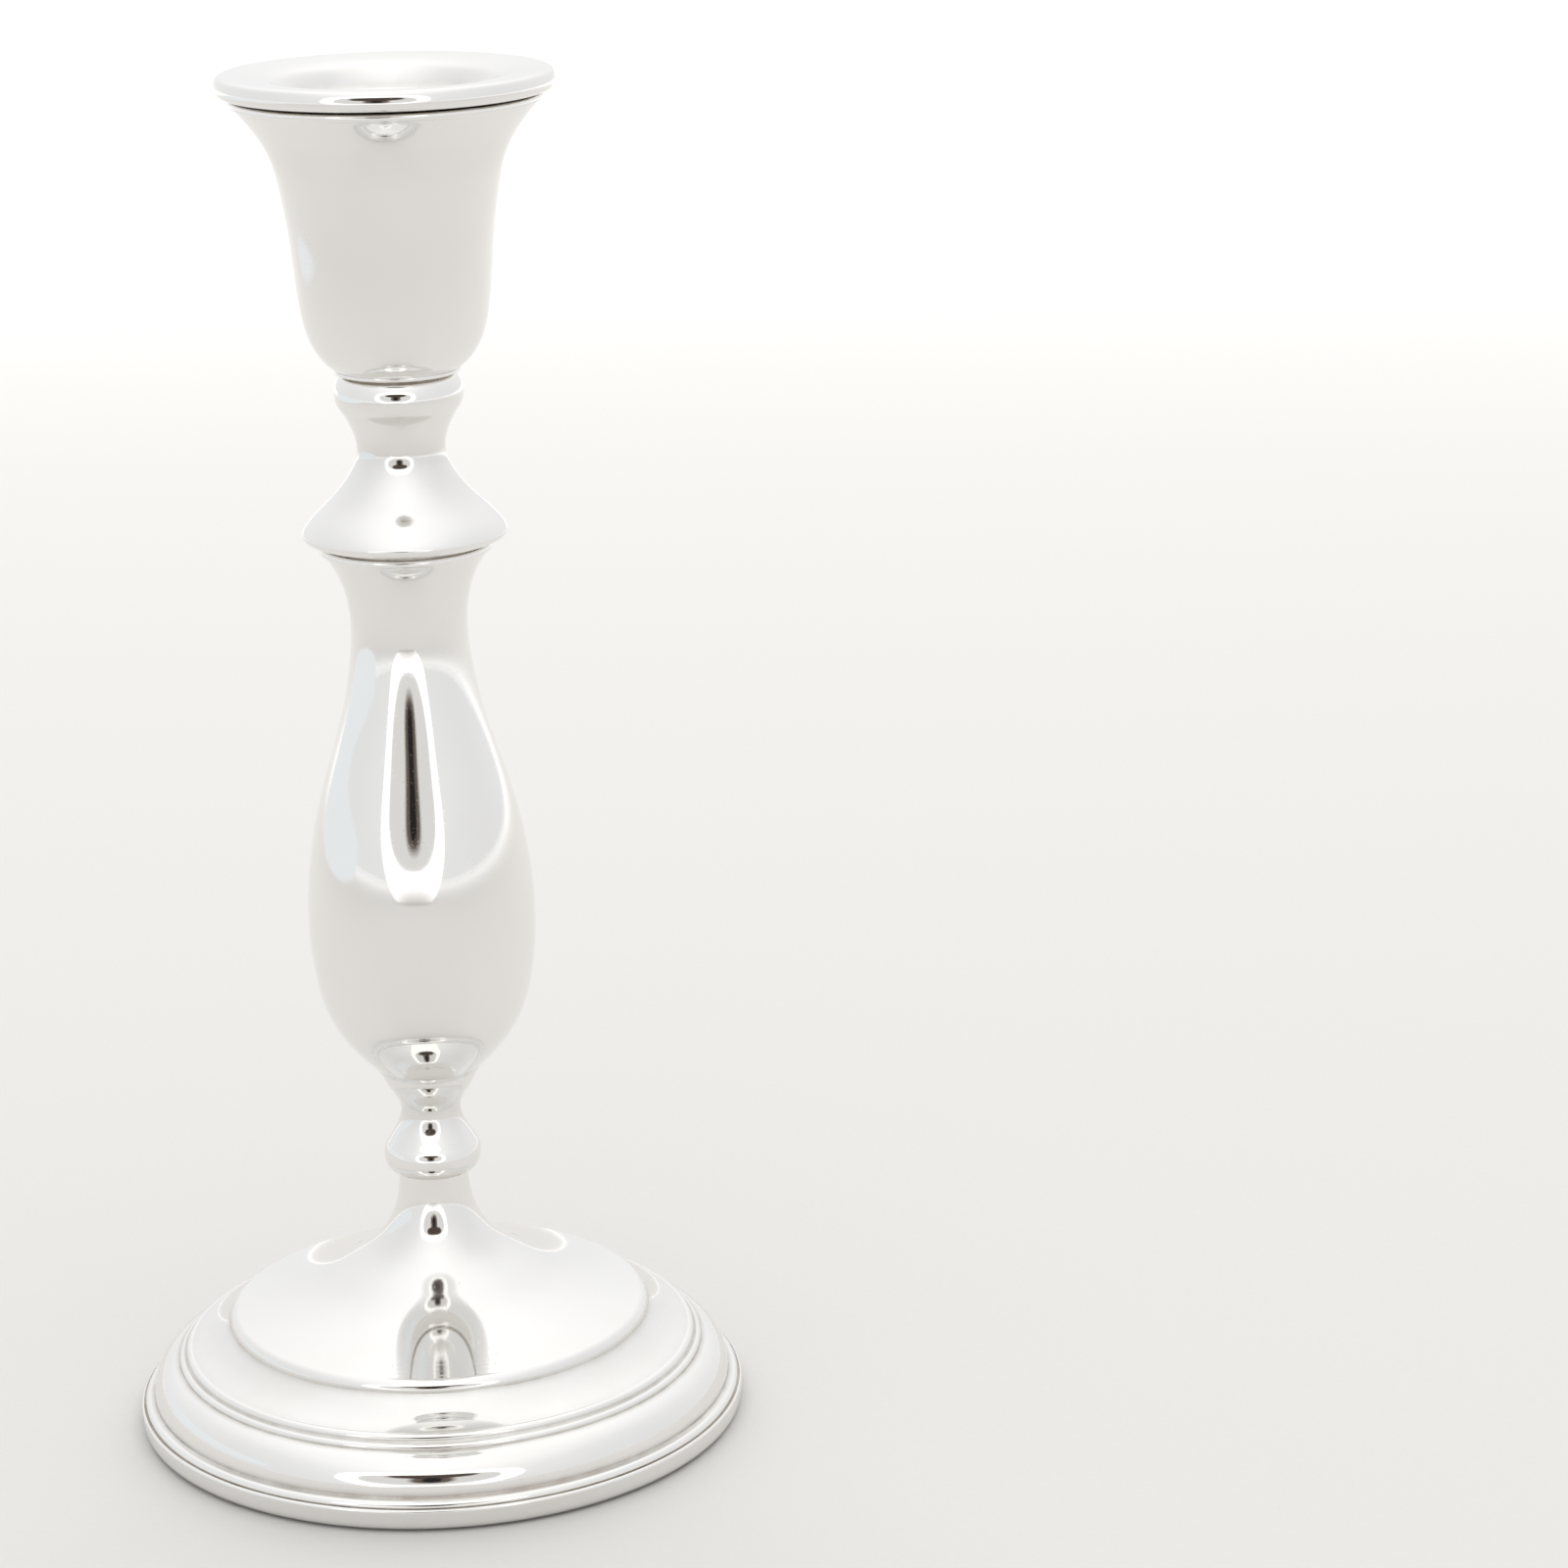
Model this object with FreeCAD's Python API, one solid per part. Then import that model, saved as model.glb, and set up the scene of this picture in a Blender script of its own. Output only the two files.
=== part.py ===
"""Weighted silver candlestick: spun sections on a tie rod, with a nozzle that lifts out of the cup.

Millimetres, +Z up. The origin is at the centre of the felt pad's underside, and every piece is turned
about the Z axis. Points of an outline are (radius, height).
"""
import FreeCAD, Part
import math
import os

# Driving dimensions ------------------------------------------------------------------------------
WALL = 0.8                 # sheet silver
ROD_R = 2.4
ROD_HOLE_R = 2.7           # hole for the rod in each sheet piece

CANDLE_BORE_R = 11.2       # takes a standard 22 mm candle
TUBE_WALL = 0.7
SLIDE_CLEARANCE = 0.3      # nozzle tube in the socket liner, on the radius
SOCKET_DEPTH_Z = 194.7     # top of the socket's floor, on which the nozzle stands
NOZZLE_TOP_Z = 225.5       # the overall height
NOZZLE_LIP_R = 25.3        # lower edge of the rolled rim
NOZZLE_LIP_Z = 222.2
NOZZLE_GAP = 0.3           # open joint between the nozzle's lip and the cup's rim wire
PAN_HOLE_Z = 220.6         # pan where it meets the candle tube

LINER_FLANGE_Z = 218.6
LINER_FLANGE_R = 20.6

CUP_BOTTOM_Z = 178.0       # the cup stands on the upper knop here
CUP_FOOT_R = 8.9
KNOP_BOTTOM_Z = 151.0      # turned-under edge of the knop's flange
KNOP_PLATE_R = 12.6
BALUSTER_MOUTH_Z = 150.1   # top of the bead, on which the knop's plate rests
BALUSTER_BOTTOM_Z = 60.4   # the baluster stands on the lower knop here
LOWER_KNOP_BOTTOM_Z = 43.0

BAND_R = 50.8              # greatest radius: a 4 inch foot
BAND_TOP_Z = 4.0
BAND_BOTTOM_Z = 0.3
PLATE_R = 47.6             # closing plate and felt, inside the edge band
FELT_TOP_Z = 1.2
PLATE_TOP_Z = 2.2

WASHER_THICKNESS = 1.2
NUT_FLATS = 9.0
NUT_THICKNESS = 3.5
POCKET_R = 8.5             # pocket for the bottom nut
POCKET_TOP_Z = 7.6

# Free-form outlines: control points of smooth curves, from the top down --------------------------
# The pan's two curves run from the candle tube out to the rim's lip, and back again underneath.
PAN_CURVE = [
    (11.9, PAN_HOLE_Z), (14.4, PAN_HOLE_Z), (16.0, 221.6), (17.0, 224.4), (20.0, 225.1), (24.6, NOZZLE_TOP_Z),
    (26.2, NOZZLE_TOP_Z), (26.6, 224.4), (26.8, 223.2), (26.2, 222.3), (NOZZLE_LIP_R, NOZZLE_LIP_Z),
]
PAN_UNDER_CURVE = [
    (NOZZLE_LIP_R - WALL, NOZZLE_LIP_Z), (24.9, 222.7), (25.6, 223.5), (25.4, 224.5), (23.6, 224.4),
    (20.4, 224.1), (18.0, 223.6), (17.0, 220.9), (14.7, PAN_HOLE_Z - WALL), (11.9, PAN_HOLE_Z - WALL),
]
CUP_CURVE = [
    (24.1, 220.5), (19.0, 215.0), (17.6, 209.1), (16.1, 199.9), (15.4, 189.1), (13.7, 181.3),
    (10.1, 178.6),
]
KNOP_CURVE = [(9.2, 171.7), (6.5, 167.1), (7.2, 163.0), (11.4, 157.4), (15.8, 153.8), (16.5, 152.2)]
BALUSTER_CURVE = [
    (13.5, 148.9), (8.6, 143.2), (9.7, 127.9), (13.3, 115.8), (16.9, 104.8),
    (19.0, 90.7), (18.4, 77.2), (15.5, 67.4), (8.9, 61.4),
]
LOWER_KNOP_CURVE = [(7.75, 59.5), (7.1, 57.8), (4.6, 55.1), (4.7, 52.1), (7.1, 48.5)]
TRUMPET_CURVE = [(5.8, 41.8), (5.9, 37.2), (8.5, 31.2), (14.2, 27.2), (22.5, 21.9), (34.0, 19.2)]
FOOT_SLOPE = [(35.2, 17.3), (37.0, 15.5), (39.3, 14.2), (41.8, 13.4)]
FOOT_MOULDING = [(44.0, 11.3), (46.9, 10.4), (48.5, 8.3), (48.5, 5.2)]


def point(r, z):
    return FreeCAD.Vector(r, 0, z)


def line(a, b):
    return Part.LineSegment(point(*a), point(*b)).toShape()


def lines(*points):
    return [line(a, b) for a, b in zip(points, points[1:])]


def arc(a, middle, b):
    return Part.Arc(point(*a), point(*middle), point(*b)).toShape()


def smooth(controls):
    """Smooth curve from the first control point to the last, pulled towards the others."""
    spans = len(controls) - 3
    knots = [i / spans for i in range(spans + 1)]
    counts = [4] + [1] * (spans - 1) + [4]
    curve = Part.BSplineCurve()
    curve.buildFromPolesMultsKnots([point(*c) for c in controls], counts, knots, False, 3)
    return curve


def inset(controls, samples=24):
    """Inner face of a wall whose outer face is smooth(controls)."""
    outer = smooth(controls)
    inner = []
    for i in range(samples + 1):
        place = outer.value(i / samples)
        along = outer.tangent(i / samples)[0]
        inner.append(point(place.x + WALL * along.z, place.z - WALL * along.x))
    curve = Part.BSplineCurve()
    curve.interpolate(inner)
    return curve


def ends(curve):
    first = curve.value(curve.FirstParameter)
    last = curve.value(curve.LastParameter)
    return (first.x, first.z), (last.x, last.z)


def turned(edges):
    """Solid of revolution about Z from a closed outline, given in order."""
    face = Part.Face(Part.Wire(edges))
    solid = face.revolve(FreeCAD.Vector(0, 0, 0), FreeCAD.Vector(0, 0, 1), 360)
    if solid.Volume < 0:
        solid.reverse()
    return solid


def ring(inner_r, outer_r, low_z, high_z):
    corners = [(inner_r, low_z), (outer_r, low_z), (outer_r, high_z), (inner_r, high_z)]
    return turned(lines(*corners, corners[0]))


def disc(radius, low_z, high_z):
    return Part.makeCylinder(radius, high_z - low_z, point(0, low_z))


def bead(controls, top_z, bulge):
    """Wire soldered round the mouth of a shell whose outer face is smooth(controls)."""
    outer_end = controls[0]
    inner_end = ends(inset(controls))[0]
    crown_r = outer_end[0] + 0.2
    return turned([
        line(inner_end, outer_end),
        arc(outer_end, (outer_end[0] + bulge, (outer_end[1] + top_z) / 2), (crown_r, top_z)),
        line((crown_r, top_z), (inner_end[0] + 0.2, top_z)),
        line((inner_end[0] + 0.2, top_z), inner_end),
    ])


# Nozzle ------------------------------------------------------------------------------------------
TUBE_R = CANDLE_BORE_R + TUBE_WALL
LINER_BORE_R = TUBE_R + SLIDE_CLEARANCE
LINER_R = LINER_BORE_R + TUBE_WALL


def nozzle_pan():
    """Flat-rimmed pan, dished round the candle, its edge rolled over and down and hollow underneath."""
    outside, underside = smooth(PAN_CURVE), smooth(PAN_UNDER_CURVE)
    return turned([
        outside.toShape(),
        line(PAN_CURVE[-1], PAN_UNDER_CURVE[0]),
        underside.toShape(),
        line(PAN_UNDER_CURVE[-1], PAN_CURVE[0]),
    ])


def nozzle_tube():
    """Candle tube on its floor, standing a little proud of the pan with a rounded mouth."""
    bottom_z = SOCKET_DEPTH_Z + WALL
    mouth_z = PAN_HOLE_Z + 0.4
    crown = ((CANDLE_BORE_R + TUBE_R) / 2, mouth_z + 0.35)
    inner, outer = (CANDLE_BORE_R, mouth_z), (TUBE_R, mouth_z)
    return turned(
        [arc(inner, crown, outer)]
        + lines(outer, (TUBE_R, bottom_z), (CANDLE_BORE_R, bottom_z), inner)
    )


def nozzle_floor():
    return disc(TUBE_R, SOCKET_DEPTH_Z, SOCKET_DEPTH_Z + WALL)


# Cup and socket ----------------------------------------------------------------------------------
def cup():
    inner = inset(CUP_CURVE)
    inner_top, inner_low = ends(inner)
    floor_z = CUP_BOTTOM_Z + WALL
    floor_r = CUP_FOOT_R - 0.6
    return turned(
        [smooth(CUP_CURVE).toShape()]
        + lines(CUP_CURVE[-1], (CUP_FOOT_R, CUP_BOTTOM_Z), (ROD_HOLE_R, CUP_BOTTOM_Z), (ROD_HOLE_R, floor_z),
                (floor_r, floor_z), inner_low)
        + [inner.toShape(), line(inner_top, CUP_CURVE[0])]
    )


def cup_rim_wire():
    return bead(CUP_CURVE, NOZZLE_LIP_Z - NOZZLE_GAP, 0.65)


def cup_foot_ring():
    """Fine moulding in the corner between the cup's underside and the knop."""
    outer = CUP_CURVE[-1]
    low = (CUP_FOOT_R + 0.7, CUP_BOTTOM_Z)
    return turned([
        arc(outer, (outer[0] + 0.05, CUP_BOTTOM_Z + 0.2), low),
        line(low, (CUP_FOOT_R, CUP_BOTTOM_Z)),
        line((CUP_FOOT_R, CUP_BOTTOM_Z), outer),
    ])


def socket_liner():
    """Tube that guides the nozzle, with a flange across the mouth of the cup."""
    under_z = LINER_FLANGE_Z - WALL
    return turned(lines(
        (LINER_BORE_R, LINER_FLANGE_Z), (LINER_FLANGE_R, LINER_FLANGE_Z), (LINER_FLANGE_R, under_z),
        (LINER_R, under_z), (LINER_R, SOCKET_DEPTH_Z), (LINER_BORE_R, SOCKET_DEPTH_Z),
        (LINER_BORE_R, LINER_FLANGE_Z),
    ))


def socket_floor():
    return disc(LINER_R, SOCKET_DEPTH_Z - WALL, SOCKET_DEPTH_Z)


# Upper knop --------------------------------------------------------------------------------------
KNOP_RING_TOP = (8.7, CUP_BOTTOM_Z)
KNOP_RING_CROWN = (10.35, 174.6)
KNOP_TOP_INNER = (8.0, CUP_BOTTOM_Z - WALL)
FLANGE_LIP = (14.9, KNOP_BOTTOM_Z)
FLANGE_EDGE = (16.2, 151.35)


def knop_inside():
    """Inner outline of the upper knop, from under its top down to its lip."""
    inner = inset(KNOP_CURVE)
    inner_top, inner_low = ends(inner)
    ledge_z = KNOP_BOTTOM_Z + WALL
    return (
        [arc(KNOP_TOP_INNER, (KNOP_RING_CROWN[0] - WALL, KNOP_RING_CROWN[1]), inner_top), inner.toShape()]
        + lines(inner_low, (inner_low[0] - 0.7, ledge_z), (KNOP_PLATE_R, ledge_z))
    )


def upper_knop():
    ledge = (KNOP_PLATE_R, KNOP_BOTTOM_Z + WALL)
    return turned(
        [
            arc(KNOP_RING_TOP, KNOP_RING_CROWN, KNOP_CURVE[0]),
            smooth(KNOP_CURVE).toShape(),
            arc(KNOP_CURVE[-1], FLANGE_EDGE, FLANGE_LIP),
        ]
        + lines(FLANGE_LIP, (KNOP_PLATE_R, KNOP_BOTTOM_Z), ledge)
        + knop_inside()[::-1]
        + lines(KNOP_TOP_INNER, (ROD_HOLE_R, KNOP_TOP_INNER[1]), (ROD_HOLE_R, CUP_BOTTOM_Z), KNOP_RING_TOP)
    )


def upper_knop_plate():
    """Stepped plate that fills the knop's mouth and rests on the baluster's bead."""
    ledge_z = KNOP_BOTTOM_Z + WALL
    rest_r = BALUSTER_CURVE[0][0]
    return turned(lines(
        (ROD_HOLE_R, BALUSTER_MOUTH_Z), (rest_r, BALUSTER_MOUTH_Z), (rest_r, KNOP_BOTTOM_Z),
        (KNOP_PLATE_R, KNOP_BOTTOM_Z), (KNOP_PLATE_R, ledge_z), (ROD_HOLE_R, ledge_z),
        (ROD_HOLE_R, BALUSTER_MOUTH_Z),
    ))


def upper_knop_loading():
    ledge_z = KNOP_BOTTOM_Z + WALL
    return turned(
        knop_inside()
        + lines((KNOP_PLATE_R, ledge_z), (ROD_R, ledge_z), (ROD_R, KNOP_TOP_INNER[1]), KNOP_TOP_INNER)
    )


# Baluster ----------------------------------------------------------------------------------------
BALUSTER_FOOT_R = 8.3
BALUSTER_FLOOR_Z = BALUSTER_BOTTOM_Z + WALL


def baluster_inside():
    inner = inset(BALUSTER_CURVE)
    inner_low = ends(inner)[1]
    return [inner.toShape(), line(inner_low, (BALUSTER_FOOT_R - 0.6, BALUSTER_FLOOR_Z))]


def baluster():
    inner_top = ends(inset(BALUSTER_CURVE))[0]
    return turned(
        [smooth(BALUSTER_CURVE).toShape()]
        + lines(BALUSTER_CURVE[-1], (BALUSTER_FOOT_R, BALUSTER_BOTTOM_Z), (ROD_HOLE_R, BALUSTER_BOTTOM_Z),
                (ROD_HOLE_R, BALUSTER_FLOOR_Z), (BALUSTER_FOOT_R - 0.6, BALUSTER_FLOOR_Z))
        + baluster_inside()[::-1]
        + [line(inner_top, BALUSTER_CURVE[0])]
    )


def baluster_rim_wire():
    return bead(BALUSTER_CURVE, BALUSTER_MOUTH_Z, 0.55)


def stem_loading():
    inner_top = ends(inset(BALUSTER_CURVE))[0]
    return turned(
        baluster_inside()
        + lines((BALUSTER_FOOT_R - 0.6, BALUSTER_FLOOR_Z), (ROD_R, BALUSTER_FLOOR_Z),
                (ROD_R, inner_top[1]), inner_top)
    )


# Lower knop --------------------------------------------------------------------------------------
def lower_knop():
    """Tapered neck and cone over a ring, with a groove between them."""
    groove_low = (7.3, 48.1)
    ring_crown = (8.1, 45.6)
    ring_foot = (6.9, LOWER_KNOP_BOTTOM_Z)
    inner = inset(LOWER_KNOP_CURVE)
    inner_top, inner_low = ends(inner)
    top_z = BALUSTER_BOTTOM_Z
    top = (LOWER_KNOP_CURVE[0][0] + 0.15, top_z)
    under_top = (inner_top[0] - 0.3, top_z - WALL)
    floor = (ring_foot[0] - WALL, LOWER_KNOP_BOTTOM_Z + WALL)
    return turned(
        [
            smooth(LOWER_KNOP_CURVE).toShape(),
            line(LOWER_KNOP_CURVE[-1], groove_low),
            arc(groove_low, ring_crown, ring_foot),
        ]
        + lines(ring_foot, (ROD_HOLE_R, LOWER_KNOP_BOTTOM_Z), (ROD_HOLE_R, floor[1]), floor)
        + [arc(floor, (ring_crown[0] - WALL, ring_crown[1]), inner_low), inner.toShape()]
        + lines(inner_top, under_top, (ROD_HOLE_R, top_z - WALL), (ROD_HOLE_R, top_z), top,
                LOWER_KNOP_CURVE[0])
    )


# Foot --------------------------------------------------------------------------------------------
NECK_INNER_TOP = (TRUMPET_CURVE[0][0] - WALL, LOWER_KNOP_BOTTOM_Z - WALL)
SHELL_EDGE_R = 50.1


def foot_inside():
    """Inner outline of the foot, from under the neck's top down to the edge band."""
    trumpet = inset(TRUMPET_CURVE)
    slope = inset(FOOT_SLOPE)
    moulding = inset(FOOT_MOULDING)
    edge = (ends(moulding)[1][0], BAND_TOP_Z)
    return [
        line(NECK_INNER_TOP, ends(trumpet)[0]),
        trumpet.toShape(),
        line(ends(trumpet)[1], ends(slope)[0]),
        slope.toShape(),
        line(ends(slope)[1], ends(moulding)[0]),
        moulding.toShape(),
        line(ends(moulding)[1], edge),
    ], edge


def base():
    inside, inner_edge = foot_inside()
    top_z = LOWER_KNOP_BOTTOM_Z
    lip = (42.8, 12.5)
    groove = (43.2, 12.2)
    ledge = (49.1, 5.05)
    shell_edge = (SHELL_EDGE_R, BAND_TOP_Z)
    return turned(
        [
            smooth(TRUMPET_CURVE).toShape(),
            arc(TRUMPET_CURVE[-1], (34.9, 18.45), FOOT_SLOPE[0]),
            smooth(FOOT_SLOPE).toShape(),
            arc(FOOT_SLOPE[-1], (42.6, 13.1), lip),
            line(lip, groove),
            arc(groove, (43.8, 11.95), FOOT_MOULDING[0]),
            smooth(FOOT_MOULDING).toShape(),
            line(FOOT_MOULDING[-1], ledge),
            arc(ledge, (49.85, 4.75), shell_edge),
            line(shell_edge, inner_edge),
        ]
        + inside[::-1]
        + lines(NECK_INNER_TOP, (ROD_HOLE_R, NECK_INNER_TOP[1]), (ROD_HOLE_R, top_z),
                (TRUMPET_CURVE[0][0], top_z), TRUMPET_CURVE[0])
    )


def base_edge_band():
    shoulder = (BAND_R, BAND_TOP_Z - 0.4)
    lower = (BAND_R - 0.1, 1.6)
    foot = (49.5, BAND_BOTTOM_Z)
    top = (BAND_R - 0.35, BAND_TOP_Z)
    inner_r = PLATE_R
    return turned(
        [
            arc(top, (BAND_R - 0.1, BAND_TOP_Z - 0.13), shoulder),
            line(shoulder, lower),
            arc(lower, (50.35, 0.75), foot),
        ]
        + lines(foot, (inner_r, BAND_BOTTOM_Z), (inner_r, BAND_TOP_Z), top)
    )


def base_loading():
    """Cast weight that fills the foot round the rod, with a pocket for the bottom nut."""
    inside, inner_edge = foot_inside()
    band_inner = (PLATE_R, BAND_TOP_Z)
    return turned(
        inside
        + lines(inner_edge, band_inner, (PLATE_R, PLATE_TOP_Z), (POCKET_R, PLATE_TOP_Z),
                (POCKET_R, POCKET_TOP_Z), (ROD_R, POCKET_TOP_Z), (ROD_R, NECK_INNER_TOP[1]),
                NECK_INNER_TOP)
    )


def base_plate():
    return disc(PLATE_R, FELT_TOP_Z, PLATE_TOP_Z)


def felt_pad():
    return disc(PLATE_R, 0, FELT_TOP_Z)


# Tie rod -----------------------------------------------------------------------------------------
TOP_NUT_Z = CUP_BOTTOM_Z + WALL + WASHER_THICKNESS
BOTTOM_NUT_Z = POCKET_TOP_Z - WASHER_THICKNESS - NUT_THICKNESS


def nut(low_z):
    corner_r = NUT_FLATS / 2 / math.cos(math.radians(30))
    angles = [math.radians(60 * k) for k in range(7)]
    corners = [FreeCAD.Vector(corner_r * math.cos(a), corner_r * math.sin(a), low_z) for a in angles]
    prism = Part.Face(Part.makePolygon(corners)).extrude(FreeCAD.Vector(0, 0, NUT_THICKNESS))
    return prism.cut(disc(ROD_R, low_z - 1, low_z + NUT_THICKNESS + 1)).Solids[0]


def tie_rod():
    """Rod with chamfered ends."""
    low_z = BOTTOM_NUT_Z - 0.4
    high_z = TOP_NUT_Z + NUT_THICKNESS + 2.5
    chamfer = 0.4
    return turned(lines(
        (0, low_z), (ROD_R - chamfer, low_z), (ROD_R, low_z + chamfer),
        (ROD_R, high_z - chamfer), (ROD_R - chamfer, high_z), (0, high_z), (0, low_z),
    ))


NODES = {
    "nozzle_pan": nozzle_pan(),
    "nozzle_tube": nozzle_tube(),
    "nozzle_floor": nozzle_floor(),
    "cup_rim_wire": cup_rim_wire(),
    "cup": cup(),
    "cup_foot_ring": cup_foot_ring(),
    "socket_liner": socket_liner(),
    "socket_floor": socket_floor(),
    "upper_knop": upper_knop(),
    "upper_knop_plate": upper_knop_plate(),
    "upper_knop_loading": upper_knop_loading(),
    "baluster_rim_wire": baluster_rim_wire(),
    "baluster": baluster(),
    "stem_loading": stem_loading(),
    "lower_knop": lower_knop(),
    "base": base(),
    "base_edge_band": base_edge_band(),
    "base_loading": base_loading(),
    "base_plate": base_plate(),
    "felt_pad": felt_pad(),
    "tie_rod": tie_rod(),
    "top_washer": ring(ROD_HOLE_R, 7.0, CUP_BOTTOM_Z + WALL, TOP_NUT_Z),
    "top_nut": nut(TOP_NUT_Z),
    "bottom_washer": ring(ROD_HOLE_R, 8.0, POCKET_TOP_Z - WASHER_THICKNESS, POCKET_TOP_Z),
    "bottom_nut": nut(BOTTOM_NUT_Z),
}

os.makedirs("parts", exist_ok=True)
for node, shape in NODES.items():
    assert shape.ShapeType == "Solid" and shape.isValid(), node
    shape.exportStep("parts/" + node + ".step")
    print(f"{node:20s} {shape.Volume:10.1f} mm3")
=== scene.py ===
"""Looks of the weighted silver candlestick: mirror-polished sections over felt, in a soft white studio."""
import math

import bpy
import numpy as np
from mathutils import Matrix, Vector


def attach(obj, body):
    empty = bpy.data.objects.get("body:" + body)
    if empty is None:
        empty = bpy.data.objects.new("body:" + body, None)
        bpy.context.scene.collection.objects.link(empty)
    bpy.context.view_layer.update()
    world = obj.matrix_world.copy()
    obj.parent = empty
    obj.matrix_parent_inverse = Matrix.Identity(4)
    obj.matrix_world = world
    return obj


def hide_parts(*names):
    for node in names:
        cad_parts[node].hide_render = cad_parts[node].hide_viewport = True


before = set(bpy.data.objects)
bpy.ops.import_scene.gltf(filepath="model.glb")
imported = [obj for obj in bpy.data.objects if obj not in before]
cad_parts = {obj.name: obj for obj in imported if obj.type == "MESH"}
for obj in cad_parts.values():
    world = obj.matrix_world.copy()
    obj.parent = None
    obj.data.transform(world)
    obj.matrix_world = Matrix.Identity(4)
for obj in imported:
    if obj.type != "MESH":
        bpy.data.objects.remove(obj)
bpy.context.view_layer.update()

MM = 0.001

# Outlines, in millimetres as (radius, height), repeated from the part ----------------------------
WALL = 0.8
ROD_HOLE_R = 2.7
CANDLE_BORE_R, TUBE_R, SOCKET_DEPTH_Z = 11.2, 11.9, 194.7
LINER_BORE_R, LINER_R, LINER_FLANGE_R, LINER_FLANGE_Z = 12.2, 12.9, 20.6, 218.6
NOZZLE_TOP_Z, PAN_HOLE_Z = 225.5, 220.6
NOZZLE_LIP_R, NOZZLE_LIP_Z, NOZZLE_GAP = 25.3, 222.2, 0.3
CUP_BOTTOM_Z, CUP_FOOT_R = 178.0, 8.9
KNOP_BOTTOM_Z, KNOP_PLATE_R = 151.0, 12.6
BALUSTER_MOUTH_Z, BALUSTER_BOTTOM_Z, BALUSTER_FOOT_R = 150.1, 60.4, 8.3
LOWER_KNOP_BOTTOM_Z = 43.0
BAND_R, BAND_TOP_Z, BAND_BOTTOM_Z = 50.8, 4.0, 0.3
SHELL_EDGE_R, PLATE_R, FELT_TOP_Z = 50.1, 47.6, 1.2

PAN_CURVE = [
    (11.9, PAN_HOLE_Z), (14.4, PAN_HOLE_Z), (16.0, 221.6), (17.0, 224.4), (20.0, 225.1), (24.6, NOZZLE_TOP_Z),
    (26.2, NOZZLE_TOP_Z), (26.6, 224.4), (26.8, 223.2), (26.2, 222.3), (NOZZLE_LIP_R, NOZZLE_LIP_Z),
]
PAN_UNDER_CURVE = [
    (NOZZLE_LIP_R - WALL, NOZZLE_LIP_Z), (24.9, 222.7), (25.6, 223.5), (25.4, 224.5), (23.6, 224.4),
    (20.4, 224.1), (18.0, 223.6), (17.0, 220.9), (14.7, PAN_HOLE_Z - WALL), (11.9, PAN_HOLE_Z - WALL),
]
CUP_CURVE = [
    (24.1, 220.5), (19.0, 215.0), (17.6, 209.1), (16.1, 199.9), (15.4, 189.1), (13.7, 181.3),
    (10.1, 178.6),
]
KNOP_CURVE = [(9.2, 171.7), (6.5, 167.1), (7.2, 163.0), (11.4, 157.4), (15.8, 153.8), (16.5, 152.2)]
BALUSTER_CURVE = [
    (13.5, 148.9), (8.6, 143.2), (9.7, 127.9), (13.3, 115.8), (16.9, 104.8),
    (19.0, 90.7), (18.4, 77.2), (15.5, 67.4), (8.9, 61.4),
]
LOWER_KNOP_CURVE = [(7.75, 59.5), (7.1, 57.8), (4.6, 55.1), (4.7, 52.1), (7.1, 48.5)]
TRUMPET_CURVE = [(5.8, 41.8), (5.9, 37.2), (8.5, 31.2), (14.2, 27.2), (22.5, 21.9), (34.0, 19.2)]
FOOT_SLOPE = [(35.2, 17.3), (37.0, 15.5), (39.3, 14.2), (41.8, 13.4)]
FOOT_MOULDING = [(44.0, 11.3), (46.9, 10.4), (48.5, 8.3), (48.5, 5.2)]


def smooth(controls, count=None):
    """Points along the smooth curve that the control points pull on, ends included."""
    controls = np.array(controls, float)
    spans = len(controls) - 3
    knots = np.concatenate([[0] * 4, np.arange(1, spans), [spans] * 4])
    length = np.linalg.norm(np.diff(controls, axis=0), axis=1).sum()
    count = count or max(12, int(length / 0.45))
    points = []
    for t in np.linspace(0, spans, count + 1):
        k = min(int(t), spans - 1) + 3
        d = [controls[j + k - 3].copy() for j in range(4)]
        for r in range(1, 4):
            for j in range(3, r - 1, -1):
                i = j + k - 3
                a = (t - knots[i]) / (knots[i + 4 - r] - knots[i])
                d[j] = (1 - a) * d[j - 1] + a * d[j]
        points.append(tuple(d[3]))
    return points


def inset(controls, count=36):
    """The curve's inner face, one wall further in."""
    outer = np.array(smooth(controls, count))
    along = np.gradient(outer, axis=0)
    along /= np.linalg.norm(along, axis=1)[:, None]
    return [(r + WALL * az, z - WALL * ar) for (r, z), (ar, az) in zip(outer, along)]


def arc(a, middle, b, count=10):
    """Points of the circular arc through three points."""
    (ax, ay), (bx, by), (cx, cy) = a, middle, b
    d = 2 * (ax * (by - cy) + bx * (cy - ay) + cx * (ay - by))
    ux = ((ax**2 + ay**2) * (by - cy) + (bx**2 + by**2) * (cy - ay) + (cx**2 + cy**2) * (ay - by)) / d
    uy = ((ax**2 + ay**2) * (cx - bx) + (bx**2 + by**2) * (ax - cx) + (cx**2 + cy**2) * (bx - ax)) / d
    radius = math.hypot(ax - ux, ay - uy)
    t0, t1, t2 = (math.atan2(y - uy, x - ux) for x, y in (a, middle, b))
    turn = (t2 - t0) % (2 * math.pi)
    if (t1 - t0) % (2 * math.pi) > turn:
        turn -= 2 * math.pi
    return [
        (ux + radius * math.cos(t0 + turn * i / count), uy + radius * math.sin(t0 + turn * i / count))
        for i in range(count + 1)
    ]


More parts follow.
